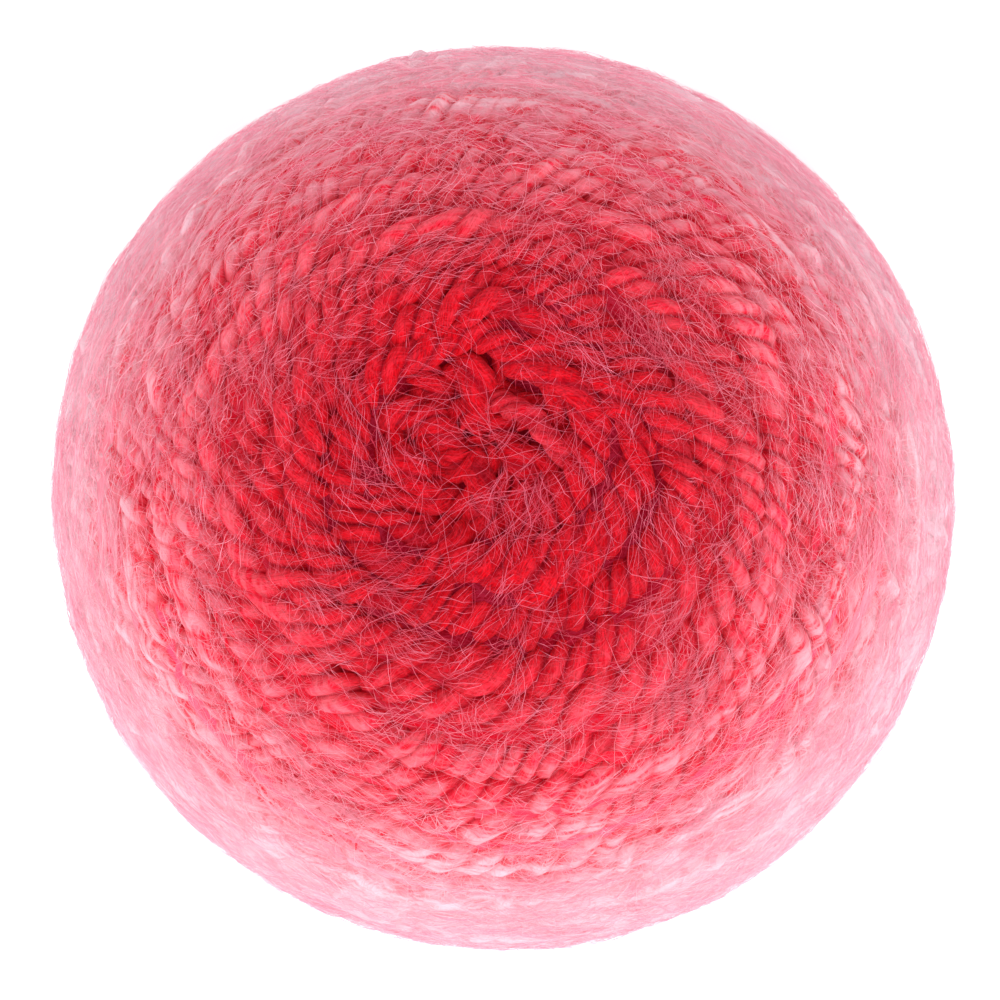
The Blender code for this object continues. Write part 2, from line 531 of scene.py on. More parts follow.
@dataclass
class Assembly:
    """A sub-assembly: pieces that are built on the winding and share a finish."""

    winding: Winding
    built: list[bpy.types.Object] = field(default_factory=list, init=False)

    def build(self) -> None:
        """Makes the pieces, which each kind of sub-assembly does its own way."""
        raise NotImplementedError

    def dress(self, finish: bpy.types.Material) -> None:
        """Gives the pieces their finish and seats them.

        Args:
            finish: The material.
        """
        for made in self.built:
            made.data.materials.append(finish)
            seat(made)


# The finishes, and the values on the pieces' points that they read

YARN_SPACE = "yarn_space"
LAID_SPACE = "laid_space"
COMBED_SPACE = "combed_space"
# The halo's pale haze, partly painted sheen towards the belly and thinned in the hollows as painted shade; it
# also picks the painted lit copies of the red.
HAZE_AND_LIGHT = "haze_and_light"
# The plies' crests against their crevices: the mask of the painted shade between them.
PLY_SHADE_MASK = "ply_shade_mask"
TINT = "tint"


def add_maps(obj: bpy.types.Object, winding: Winding) -> None:
    """Stores the ball's two maps on a piece's points.

    Args:
        obj: The piece.
        winding: The wound form it lies on.
    """
    points = points_of(obj)
    add_point_vector(obj, LAID_SPACE, winding.laid(points))
    add_point_vector(obj, COMBED_SPACE, winding.combed(points))


@dataclass
class Shader:
    """A material's node tree, with short ways to add and join its nodes."""

    name: str
    material: bpy.types.Material = field(init=False)

    def __post_init__(self) -> None:
        """Makes the material."""
        self.material = bpy.data.materials.new(self.name)
        self.material.use_nodes = True

    def add(self, kind: str, **inputs: object) -> bpy.types.Node:
        """Adds a node.

        Args:
            kind: The node's type name without ShaderNode.
            **inputs: Values or output sockets by input name, with _ for a space, and settings
                of the node itself in lower case.

        Returns:
            The node.
        """
        node = self.material.node_tree.nodes.new("ShaderNode" + kind)
        for key, value in inputs.items():
            if key.islower():
                setattr(node, key, value)
            else:
                self.feed(node.inputs[key.replace("_", " ")], value)
        return node

    def feed(self, socket: Socket, value: object) -> None:
        """Links an output socket to an input, or sets the input to a plain value.

        Args:
            socket: The input.
            value: An output socket, a number, a vector, or a colour without its alpha.
        """
        if isinstance(value, Socket):
            self.material.node_tree.links.new(value, socket)
        elif socket.type == "RGBA":
            socket.default_value = (*value, 1.0)
        else:
            socket.default_value = value

    def show(self, **inputs: object) -> bpy.types.Material:
        """Feeds the shader that shows.

        Args:
            **inputs: Values or output sockets by input name, with _ for a space.

        Returns:
            The material.
        """
        shader = self.material.node_tree.nodes["Principled BSDF"]
        for key, value in inputs.items():
            self.feed(shader.inputs[key.replace("_", " ")], value)
        return self.material

    def let_light_through(self, tint: Colour, strength: float) -> None:
        """A little light of a tint from everywhere, as loose wool scatters it."""
        self.show(Emission_Color=tint, Emission_Strength=strength)
        self.material.cycles.emission_sampling = "NONE"

    def attribute(self, name: str, output: str = "Fac") -> Socket:
        """An output of one of the piece's own point attributes."""
        return self.add("Attribute", attribute_name=name).outputs[output]

    def ramp(self, factor: Socket, stops: dict[float, Colour]) -> Socket:
        """A colour ramp.

        Args:
            factor: The value that picks the colour.
            stops: Colours by their positions on the ramp.

        Returns:
            The colour.
        """
        node = self.add("ValToRGB", Fac=factor)
        elements = node.color_ramp.elements
        for element, (position, colour) in zip(elements, stops.items()):
            element.position, element.color = position, (*colour, 1.0)
        for position, colour in list(stops.items())[len(elements):]:
            elements.new(position).color = (*colour, 1.0)
        return node.outputs["Color"]

    def noise(self, vector: Socket, detail: float, scale: float = 1.0, swirl: float = 0.0) -> Socket:
        """A noise's value on given coordinates, which swirl bends."""
        node = self.add("TexNoise", Vector=vector, Scale=scale, Detail=detail, Distortion=swirl)
        return node.outputs["Fac"]

    def bent(self, vector: Socket, size: float, spacing: float) -> Socket:
        """Coordinates moved by a noise.

        Args:
            vector: The coordinates.
            size: How far they move, at most.
            spacing: How far apart the noise's waves are.

        Returns:
            The moved coordinates.
        """
        waves = self.add("TexNoise", Vector=vector, Scale=1.0 / spacing, Detail=1.0)
        moved = self.add("VectorMath", operation="MULTIPLY_ADD")
        for socket, value in zip(moved.inputs, (waves.outputs["Color"], (size, size, size), vector)):
            self.feed(socket, value)
        return moved.outputs["Vector"]

    def stretched(self, vector: Socket, grain: tuple[float, float, float], turn: float = 0.0) -> Socket:
        """Coordinates turned about the third axis, then counted in grains.

        Args:
            vector: The coordinates.
            grain: A grain's three sizes.
            turn: The turn in degrees, which also moves the pattern along, so no two are alike.

        Returns:
            The new coordinates.
        """
        rotation, location = (0.0, 0.0, math.radians(turn)), (turn, turn, turn)
        node = self.add(
            "Mapping", vector_type="TEXTURE", Vector=vector, Scale=grain, Rotation=rotation, Location=location
        )
        return node.outputs["Vector"]

    def between(self, value: Socket, limits: Pair, to: Pair = (0.0, 1.0)) -> Socket:
        """A value spread by an S-curve from one range to another, and level outside it.

        Args:
            value: The value.
            limits: The range it is spread from.
            to: The range it is spread to.

        Returns:
            The new value.
        """
        node = self.add("MapRange", interpolation_type="SMOOTHSTEP", Value=value)
        for name, limit in zip(("From Min", "From Max", "To Min", "To Max"), (*limits, *to)):
            node.inputs[name].default_value = limit
        return node.outputs["Result"]

    def mix(self, factor: object, first: object, second: object, blend: str = "MIX") -> Socket:
        """Two colours mixed.

        Args:
            factor: How much of the second shows, a value or an output socket.
            first: The first colour or output socket.
            second: The second.
            blend: The way they mix.

        Returns:
            The mixed colour.
        """
        node = self.add("Mix", data_type="RGBA", blend_type=blend)
        for number, value in ((0, factor), (6, first), (7, second)):
            self.feed(node.inputs[number], value)
        return node.outputs[2]

    def maths(self, operation: str, first: object, second: object) -> Socket:
        """One step of arithmetic, with its result kept from 0 to 1.

        Args:
            operation: What is done.
            first: The first value or output socket.
            second: The second.

        Returns:
            The result.
        """
        node = self.add("Math", operation=operation, use_clamp=True)
        for socket, value in zip(node.inputs, (first, second)):
            self.feed(socket, value)
        return node.outputs[0]


@dataclass(frozen=True)
class Brushing:
    """The fine fibres that brushing lays over the wool, as a pattern on the ball's two maps.

    Attributes:
        fine: The width and length of a fibre combed along the turns, in millimetres.
        combed_bends: The waves, in millimetres, that bend each set of combed fibres.
        crossing: The width and length of a fibre that lies across.
        crossing_depth: How far down such a fibre is the same.
        headings: The directions of the sets of crossing fibres, in degrees.
        crossing_bend: The waves that bend them.
        broad: A soft streak's width and length.
        broad_bend: The waves that bend the streaks.
        bend: How far all these waves move them.
        line_limits: The noise values between which a fibre comes up.
        streak_limits: The noise values between which a streak comes up.
        haze_range: How thick the haze is between and on the streaks, against an even 1.
    """

    fine: Pair = (0.42, 6.5)
    combed_bends: Pair = (10.0, 15.0)
    crossing: Pair = (0.32, 5.0)
    crossing_depth: float = 4.0
    headings: tuple[float, ...] = (12.0, 68.0, 131.0)
    crossing_bend: float = 11.0
    broad: Pair = (1.1, 5.5)
    broad_bend: float = 12.0
    bend: float = 5.5
    line_limits: Pair = (0.55, 0.66)
    streak_limits: Pair = (0.36, 0.64)
    haze_range: Pair = (-0.25, 2.35)

    def lines(self, tree: Shader) -> Socket:
        """How strongly single fibres show: the strongest of all sets at each point.

        Args:
            tree: The material's nodes.

        Returns:
            From 0 between the fibres to 1 on them.
        """
        combed = tree.attribute(COMBED_SPACE, "Vector")
        laid = tree.bent(tree.attribute(LAID_SPACE, "Vector"), self.bend, self.crossing_bend)
        width, length = self.fine
        sets = [
            tree.stretched(tree.bent(combed, self.bend, spacing), (length, length, width), spacing)
            for spacing in self.combed_bends
        ]
        width, length = self.crossing
        grain = (length, width, self.crossing_depth)
        sets += [tree.stretched(laid, grain, heading) for heading in self.headings]
        cover = 0.0
        for vector in sets:
            line = tree.between(tree.noise(vector, detail=1.5), self.line_limits)
            cover = tree.maths("MAXIMUM", cover, line)
        return cover

    def streaks(self, tree: Shader) -> Socket:
        """How thick the soft haze lies, in streaks that run with the turns.

        Args:
            tree: The material's nodes.

        Returns:
            The thickness, against an even 1.
        """
        width, length = self.broad
        combed = tree.bent(tree.attribute(COMBED_SPACE, "Vector"), self.bend, self.broad_bend)
        value = tree.noise(tree.stretched(combed, (length, length, width)), detail=3.0)
        return tree.between(value, self.streak_limits, self.haze_range)


@dataclass(frozen=True)
class BrushedWool:
    """Red plied wool with a felted, brushed surface, which pales where the halo is thick, partly as painted
    sheen, with painted shade between its plies and over the crown.

    Attributes:
        deep, body, bright: The wool's colours, from its dark fibres to its light ones, kept dark over the
            crown as painted shade.
        painted_crevice_shade: Painted shade between the plies.
        lit_deep, lit_bright, lit_painted_crevice_shade: Painted lit copies of the same, where light comes
        through the haze.
        rose: Single fibres at the crown.
        pale: The haze, partly painted sheen, and single fibres at the belly.
        tones: Where the bare colours lie on the mottling.
        felt_grain: The size of a clump of fibres, in millimetres of yarn.
        felt_share: How much of the mottling and of the relief the clumps make.
        brightening: How fast the colours go over to the lit ones with the haze.
        cover_power: The haze's power where it covers the red.
        even_power: Its power where it evens out the streaks.
        rose_power: Its power where it pales the single fibres.
        line_strength: How strong single fibres are at the crown and at the belly.
    """

    name: str = "brushed_red_wool"
    brushing: Brushing = Brushing()
    deep: Colour = (0.36, 0.001, 0.006)
    body: Colour = (0.58, 0.002, 0.008)
    bright: Colour = (0.75, 0.008, 0.020)
    # Painted shade between the plies, dark at the crown and a saturated red where lit.
    painted_crevice_shade: Colour = (0.26, 0.001, 0.008)
    # Painted lit copies of the colours above, for where the haze lies thick.
    lit_deep: Colour = (0.77, 0.003, 0.018)
    lit_bright: Colour = (0.97, 0.047, 0.100)
    lit_painted_crevice_shade: Colour = (0.66, 0.003, 0.020)
    rose: Colour = (0.84, 0.075, 0.13)
    pale: Colour = (0.90, 0.56, 0.645)
    tones: tuple[float, float, float] = (0.40, 0.50, 0.60)
    felt_grain: tuple[float, float, float] = (0.38, 0.38, 0.8)
    felt_share: float = 0.7
    brightening: float = 3.8
    cover_power: float = 1.75
    even_power: float = 2.0
    rose_power: float = 0.8
    line_strength: Pair = (0.14, 0.8)
    roughness: float = 0.95
    gloss: float = 0.05
    sheen: float = 0.02
    sheen_roughness: float = 0.5
    sheen_tint: Colour = (1.0, 0.5, 0.6)
    scatter: Colour = (0.5, 0.002, 0.012)
    scatter_strength: float = 0.05
    bump: float = 1.0
    bump_depth: float = 0.28 * MM

    def with_felt(self, tree: Shader, felt: Socket, other: Socket) -> Socket:
        """The clumps and another pattern, added by their shares."""
        rest = tree.maths("MULTIPLY", other, 1.0 - self.felt_share)
        return tree.maths("ADD", tree.maths("MULTIPLY", felt, self.felt_share), rest)

    def red(self, tree: Shader, haze_and_light: Socket, felt: Socket) -> Socket:
        """The wool's red: mottled, with painted shade between the plies, and painted lighter the more haze
        lies over it, so that the crown stays in painted shade.

        Args:
            tree: The material's nodes.
            haze_and_light: How thick the halo is.
            felt: The clumps of fibres.

        Returns:
            The colour.
        """
        mottle = tree.noise(tree.attribute(YARN_SPACE, "Vector"), detail=2.0, scale=0.40)
        tone = self.with_felt(tree, felt, mottle)
        low, middle, high = self.tones
        plies = tree.ramp(tone, {low: self.deep, middle: self.body, high: self.bright})
        lit = tree.ramp(tone, {low: self.lit_deep, high: self.lit_bright})
        # Painted light: the lit copies take over from the crown's painted shade as the haze thickens.
        brightened = tree.maths("MULTIPLY", haze_and_light, self.brightening)
        # Painted shade in the crevices between the plies, masked by the plies' crests.
        painted_crevice_shade = tree.mix(brightened, self.painted_crevice_shade, self.lit_painted_crevice_shade)
        return tree.mix(tree.attribute(PLY_SHADE_MASK), painted_crevice_shade, tree.mix(brightened, plies, lit))

    def soft_cover(self, tree: Shader, haze_and_light: Socket) -> Socket:
        """How much pale wool lies over the red, partly painted sheen where it thickens towards the belly.

        The haze to its power, times a factor that follows the streaks and is evened out where
        the haze is thick.

        Args:
            tree: The material's nodes.
            haze_and_light: How thick the halo is.

        Returns:
            The cover, from 0 to 1.
        """
        even = tree.maths("POWER", haze_and_light, self.even_power)
        streaks = self.brushing.streaks(tree)
        factor = tree.add("Mix", data_type="FLOAT", Factor=even, A=streaks, B=1.0)
        dense = tree.maths("POWER", haze_and_light, self.cover_power)
        return tree.maths("MULTIPLY", dense, factor.outputs["Result"])

    def material(self) -> bpy.types.Material:
        """Red wool under soft pale streaks, with single fibres over both.

        Returns:
            The material.
        """
        tree = Shader(self.name)
        haze_and_light = tree.attribute(HAZE_AND_LIGHT)
        clumps = tree.stretched(tree.attribute(YARN_SPACE, "Vector"), self.felt_grain)
        felt = tree.noise(clumps, detail=4.0, swirl=0.6)
        lines = self.brushing.lines(tree)
        clouded = tree.mix(self.soft_cover(tree, haze_and_light), self.red(tree, haze_and_light, felt), self.pale)
        fibre = tree.mix(tree.maths("POWER", haze_and_light, self.rose_power), self.rose, self.pale)
        strength = tree.maths("MULTIPLY", lines, tree.between(haze_and_light, (0.0, 1.0), self.line_strength))
        relief = self.with_felt(tree, felt, lines)
        bump = tree.add("Bump", Strength=self.bump, Distance=self.bump_depth, Height=relief)
        tree.let_light_through(self.scatter, self.scatter_strength)
        return tree.show(
            Base_Color=tree.mix(strength, clouded, fibre), Normal=bump.outputs["Normal"],
            Roughness=self.roughness, Specular_IOR_Level=self.gloss, Sheen_Weight=self.sheen,
            Sheen_Roughness=self.sheen_roughness, Sheen_Tint=self.sheen_tint,
        )


@dataclass(frozen=True)
class ShadedWool:
    """The same wool a layer down: painted dark with shade at the crown, and matted with pale fibres at the
    belly.

    Attributes:
        stops: The wool's colours from the crown to the belly, by how thick the halo is; the dark ones at the
            crown are painted shade.
        mottling: What the colours are darkened by, by the mottling's value.
        mottle_grain: The size of a mottle, in millimetres along, along and down the turns.
        mauve: Single fibres at the crown.
        light: Single fibres at the belly.
        light_power: The haze's power where it pales the single fibres.
        line_strength: How strong single fibres are.
    """

    name: str = "shaded_red_wool"
    brushing: Brushing = Brushing()
    # The dark colours at the crown are painted shade of the gaps between the turns.
    stops: tuple[tuple[float, Colour], ...] = (
        (0.02, (0.20, 0.001, 0.008)),
        (0.12, (0.50, 0.004, 0.018)),
        (0.35, (0.84, 0.008, 0.030)),
        (0.62, (0.95, 0.10, 0.20)),
        (0.88, (0.98, 0.50, 0.60)),
    )
    mottling: tuple[tuple[float, Colour], ...] = ((0.35, (0.85, 0.60, 0.60)), (0.62, (1.0, 1.0, 1.0)))
    mottle_grain: tuple[float, float, float] = (3.0, 3.0, 0.7)
    mauve: Colour = (0.42, 0.025, 0.07)
    light: Colour = (0.98, 0.55, 0.66)
    light_power: float = 1.6
    line_strength: float = 0.35
    roughness: float = 0.95
    gloss: float = 0.05
    scatter: Colour = (0.5, 0.002, 0.020)
    scatter_strength: float = 0.09
    bump: float = 0.8
    bump_depth: float = 0.6 * MM

    def material(self) -> bpy.types.Material:
        """The haze value picks the colour, mottling shades it, and single fibres lie over it.

        Returns:
            The material.
        """
        tree = Shader(self.name)
        haze_and_light = tree.attribute(HAZE_AND_LIGHT)
        grains = tree.stretched(tree.attribute(COMBED_SPACE, "Vector"), self.mottle_grain)
        mottle = tree.noise(grains, detail=4.0)
        colour, shade = tree.ramp(haze_and_light, dict(self.stops)), tree.ramp(mottle, dict(self.mottling))
        shaded = tree.mix(1.0, colour, shade, "MULTIPLY")
        fibre = tree.mix(tree.maths("POWER", haze_and_light, self.light_power), self.mauve, self.light)
        strength = tree.maths("MULTIPLY", self.brushing.lines(tree), self.line_strength)
        bump = tree.add("Bump", Strength=self.bump, Distance=self.bump_depth, Height=mottle)
        tree.let_light_through(self.scatter, self.scatter_strength)
        return tree.show(
            Base_Color=tree.mix(strength, shaded, fibre), Normal=bump.outputs["Normal"],
            Roughness=self.roughness, Specular_IOR_Level=self.gloss,
        )


@dataclass(frozen=True)
class FineFibre:
    """Single wool fibres: rose over the crown, and paler towards the belly.

    Attributes:
        crown: The crown's fibres from dark to light, by the fibre's own tint.
        belly: The same at the belly.
        haze_power: The haze's power where it leads from one to the other.
    """

    name: str = "fine_fibre"
    crown: tuple[tuple[float, Colour], ...] = ((0.15, (0.62, 0.018, 0.050)), (1.0, (0.84, 0.22, 0.33)))
    belly: tuple[tuple[float, Colour], ...] = ((0.0, (0.95, 0.35, 0.47)), (0.9, (0.92, 0.68, 0.75)))
    haze_power: float = 0.8
    roughness: float = 0.7
    gloss: float = 0.2
    scatter: Colour = (0.95, 0.20, 0.32)
    scatter_strength: float = 0.13

    def material(self) -> bpy.types.Material:
        """Each fibre's own tint, from dark to light, mixed by the haze value.

        Returns:
            The material.
        """
        tree = Shader(self.name)
        tint = tree.attribute(TINT)
        crown, belly = tree.ramp(tint, dict(self.crown)), tree.ramp(tint, dict(self.belly))
        haze_and_light = tree.maths("POWER", tree.attribute(HAZE_AND_LIGHT), self.haze_power)
        tree.let_light_through(self.scatter, self.scatter_strength)
        return tree.show(
            Base_Color=tree.mix(haze_and_light, crown, belly), Roughness=self.roughness, Specular_IOR_Level=self.gloss
        )


@dataclass(frozen=True)
class PaleFloor:
    """A matt white studio floor, with a faint light of its own like a lit table."""

    name: str = "studio_floor"
    colour: Colour = (0.93, 0.93, 0.93)
    roughness: float = 0.9
    gloss: float = 0.1
    glow_colour: Colour = (1.0, 1.0, 1.0)
    glow: float = 0.22

    def material(self) -> bpy.types.Material:
        """The floor's material."""
        return Shader(self.name).show(
            Base_Color=self.colour, Roughness=self.roughness, Specular_IOR_Level=self.gloss,
            Emission_Color=self.glow_colour, Emission_Strength=self.glow,
        )


# The yarn


@dataclass(frozen=True)
class Yarn:
    """The strand: three plies twisted together, with every ply a little uneven.

    Attributes:
        radius: Half the strand's thickness.
        ply_radius, ply_offset: A ply's own radius, and how far it lies off the middle.
        twist_pitch: How far along the yarn its plies go round once.
        uneven_twist: How much the pace of the twist varies, and over what length.
        twist_limits: The least and the greatest pace.
        slub, slub_length: How much each ply swells and thins, and over what length.
        nap_from, nap_to: Where crevices end and crests begin, as shares of the radius.
        crevice_haze: How much haze the crevices hold where the halo is thin and thick; less haze there is
            painted shade.
        felting: How far the strand is felted round, from felted_from to felted_to off the crown.
        felt_patches, patch_length: How much that varies, and over what length.
        filling: How far felting fills the crevices.
        felted_radius: The radius of a wholly felted strand.
        slub_seed, twist_seed, felt_seed: The seeds of the random draws.
    """

    radius: float = 3.45 * MM
    plies: int = 3
    ply_radius: float = 1.95 * MM
    ply_offset: float = 1.5 * MM
    points_per_ply: int = 5
    twist_pitch: float = 12.6 * MM
    uneven_twist: tuple[Pair, ...] = ((0.4, 26.0 * MM), (0.4, 8.0 * MM))
    twist_limits: Pair = (0.55, 1.3)
    step: float = 1.15 * MM
    slub: float = 0.36
    slub_length: float = 4.6 * MM
    nap_from: float = 0.58
    nap_to: float = 0.82
    crevice_haze: Pair = (0.35, 1.0)
    felting: float = 0.75
    felted_from: float = math.radians(12.0)
    felted_to: float = math.radians(74.0)
    felt_patches: float = 0.9
    patch_length: float = 6.0 * MM
    filling: float = 0.5
    felted_radius: float = 3.4 * MM
    slub_seed: int = 40
    twist_seed: int = 7
    felt_seed: int = 31

    def section(self, distance: Array) -> tuple[Array, Array]:
        """The strand's cross-section at each distance along it.

        The outline of three touching circles: at an angle b off its ply, the surface lies at
        o cos b + sqrt(p^2 - o^2 sin^2 b), with o the ply's offset and p its radius. Each ply
        swells and thins at random along the yarn.

        Args:
            distance: Metres along the yarn, one for each ring.

        Returns:
            The angle of each point of the outline, and its distance from the middle, which has
            a row for each ring.
        """
        count = self.plies * self.points_per_ply
        number = np.arange(count)
        sector = 2.0 * math.pi / self.plies
        ply = number // self.points_per_ply
        angle = number * 2.0 * math.pi / count
        beside = angle - ply * sector - sector / 2.0
        swells = [drift(distance, self.slub_length, self.slub_seed + each) for each in range(self.plies)]
        swell = np.stack(swells, axis=-1)[:, ply]
        edge = np.abs(beside) / (sector / 2.0)
        swell = 1.0 + self.slub * swell * (1.0 - edge**2)
        root = np.sqrt(self.ply_radius**2 - (self.ply_offset * np.sin(beside)) ** 2)
        return angle, (self.ply_offset * np.cos(beside) + root) * swell

    def twist(self, distance: Array) -> Array:
        """How far the plies have turned: the sum of a pace that runs uneven along the yarn.

        Args:
            distance: Metres along the yarn.

        Returns:
            The turn at each distance, in radians.
        """
        run = np.arange(0.0, distance[-1] + 2.0 * self.step, self.step)
        pace = 1.0 + sum(size * drift(run, length, self.twist_seed) for size, length in self.uneven_twist)
        turned = np.cumsum(np.clip(pace, *self.twist_limits)) * self.step
        return -2.0 * math.pi / self.twist_pitch * np.interp(distance, run, turned)

    def strand(
        self,
        name: str,
        path: Array,
        outward: Array,
        distance: Array,
        thickness: Array,
        winding: Winding,
        brushed: float = 0.0,
    ) -> bpy.types.Object:
        """A length of yarn carried along a path.

        Each ring stands square to the path and is turned by the twist so far. Its point at
        angle a lies at r (cos a * outward + sin a * sideways) from the path. Felting evens r
        out and fills the crevices between the plies: in patches, and most towards the belly.

        Args:
            name: The piece's name.
            path: The middle of the strand, one point a row.
            outward: Unit vectors away from the ball, one a row.
            distance: Metres along the yarn at each point.
            thickness: A factor on the strand's thickness at each point.
            winding: The wound form the strand lies in.
            brushed: How much haze it has beyond the winding's.

        Returns:
            The strand, closed at both ends.
        """
        ahead = unit(np.gradient(path, axis=0))
        outward = unit(outward - dot(outward, ahead) * ahead)
        sideways = np.cross(ahead, outward)
        angle, reach = self.section(distance)
        ply_shade_mask = smooth_step(self.nap_from, self.nap_to, reach / self.radius)
        turned = angle + self.twist(distance)[:, None]
        felted = self.felting * smooth_step(self.felted_from, self.felted_to, winding.from_crown(outward))
        felted = felted * (1.0 + self.felt_patches * drift(distance, self.patch_length, self.felt_seed))
        felted = np.clip(felted, 0.0, 1.0)[:, None]
        reach = reach + felted * (self.felted_radius - reach)
        ply_shade_mask = ply_shade_mask + self.filling * felted * (1.0 - ply_shade_mask)
        reach = reach * thickness[:, None]
        aside, up = reach * np.sin(turned), reach * np.cos(turned)
        rings = path[:, None] + up[..., None] * outward[:, None] + aside[..., None] * sideways[:, None]
        rings[..., 2] = np.maximum(rings[..., 2], 0.0)
        number = np.arange(turned.size).reshape(turned.shape)
        faces = [np.roll(part[:, ::-1], 1, axis=1) for part in skin(number, turned.size, turned.size + 1)]
        points = np.vstack([rings.reshape(-1, 3), path[[0]], path[[-1]]])
        made = add_mesh(name, points, faces)
        smooth = np.arange(len(made.data.polygons)) < len(faces[0])
        made.data.polygons.foreach_set("use_smooth", smooth)
        level = np.broadcast_to(distance[:, None], reach.shape)
        ends = [[0.0, 0.0, distance[0]], [0.0, 0.0, distance[-1]]]
        own = np.stack([reach * np.cos(angle), reach * np.sin(angle), level], axis=-1)
        add_point_vector(made, YARN_SPACE, np.vstack([own.reshape(-1, 3), ends]) / MM)
        add_maps(made, winding)
        # Crevices between the plies hold less haze: painted shade.
        crest = np.append(ply_shade_mask.ravel(), [1.0, 1.0])
        hollow = winding.filled(unit(points - winding.centre), self.crevice_haze)
        haze_and_light = (brushed + winding.haze_and_light(points)) * (hollow + (1.0 - hollow) * crest)
        add_point_value(made, HAZE_AND_LIGHT, haze_and_light)
        add_point_value(made, PLY_SHADE_MASK, crest)
        return made


@dataclass
class YarnTurns(Assembly):
    """The outer layer of the winding, as one long strand in several pieces.

    Attributes:
        yarn: The strand it is made of.
        first_turn: Where it starts, counted from the eye.
        wobble, wobble_length: How far it strays from its lane, and over what length.
        belly_wobble: What is left of the wobble and the unevenness at the belly.
        uneven, uneven_length: How much its thickness varies, and over what length.
        lane_limits: How far it thins and thickens with the width of its lane.
        rise_seed, aside_seed, uneven_seed: The seeds of the random draws.
    """

    yarn: Yarn
    first_turn: float = 0.55
    pieces: int = 3
    samples_per_turn: int = 240
    wobble: float = 0.8 * MM
    wobble_length: float = 13.0 * MM
    belly_wobble: float = 0.3
    uneven: float = 0.14
    uneven_length: float = 14.0 * MM
    lane_limits: Pair = (0.94, 1.25)
    rise_seed: int = 21
    aside_seed: int = 22
    uneven_seed: int = 23

    def build(self) -> None:
        """Carries the yarn from the eye to the foot.

        The middle of the strand lies its own radius below the crest of each turn, and wobbles
        up and down and sideways by a few tenths of a millimetre, less so at the belly.
        """
        turns = self.winding.turns
        turn = np.linspace(self.first_turn, turns, int(turns * self.samples_per_turn))
        rough = self.middle(turn, np.zeros_like(turn), -self.yarn.radius)
        rows, distance = evenly_along(rough, self.yarn.step)
        turn = np.interp(rows, np.arange(len(turn)), turn)
        lane = np.clip(self.winding.lane(turn, 2.0 * math.pi * turn), *self.lane_limits)
        over = smooth_step(self.winding.haze_from, self.winding.haze_to, math.pi * turn / turns)
        calm = 1.0 + (self.belly_wobble - 1.0) * over
        thickness = lane * (1.0 + self.uneven * calm * drift(distance, self.uneven_length, self.uneven_seed))
        wobble = self.wobble * calm
        aside = wobble * drift(distance, self.wobble_length, self.aside_seed)
        rise = wobble * drift(distance, self.wobble_length, self.rise_seed)
        up = rise - self.yarn.radius * thickness
        path = self.middle(turn, aside, up)
        outward = unit(path - self.winding.centre)
        cuts = np.linspace(0, len(path) - 1, self.pieces + 1).astype(int)
        for number, (start, end) in enumerate(zip(cuts[:-1], cuts[1:]), 1):
            part = slice(start, end + 1)
            along = path[part], outward[part], distance[part], thickness[part]
            self.built.append(self.yarn.strand(f"yarn_turns_{number}", *along, self.winding))

    def middle(self, turn: Array, aside: Array, up: Array | float) -> Array:
        """The middle of the strand.

        Args:
            turn: Turns counted from the eye.
            aside: Metres sideways of each turn.
            up: Metres over its crest.

        Returns:
            One point a row.
        """
        angle = 2.0 * math.pi * turn
        moved = turn + aside / self.winding.pitch
        direction = self.winding.direction(moved, angle)
        crest = self.winding.crest(turn, angle)
        return self.winding.place(direction, crest + up, self.yarn.radius)


@dataclass(frozen=True)
class Route:
    """A strand that crosses the crown.

    Attributes:
        crest_mm: Its crest against the ball's envelope, in millimetres.
        thickness: Its thickness as a share of the yarn's.
        yarn_start: Where along the yarn's twist it begins, in metres.
        points_mm: Its route seen from above, in millimetres from the winding axis.
        brushed: How much paler brushing has made it than its neighbours.
    """

    crest_mm: float
    thickness: float
    yarn_start: float
    points_mm: tuple[Pair, ...]
    brushed: float = 0.0


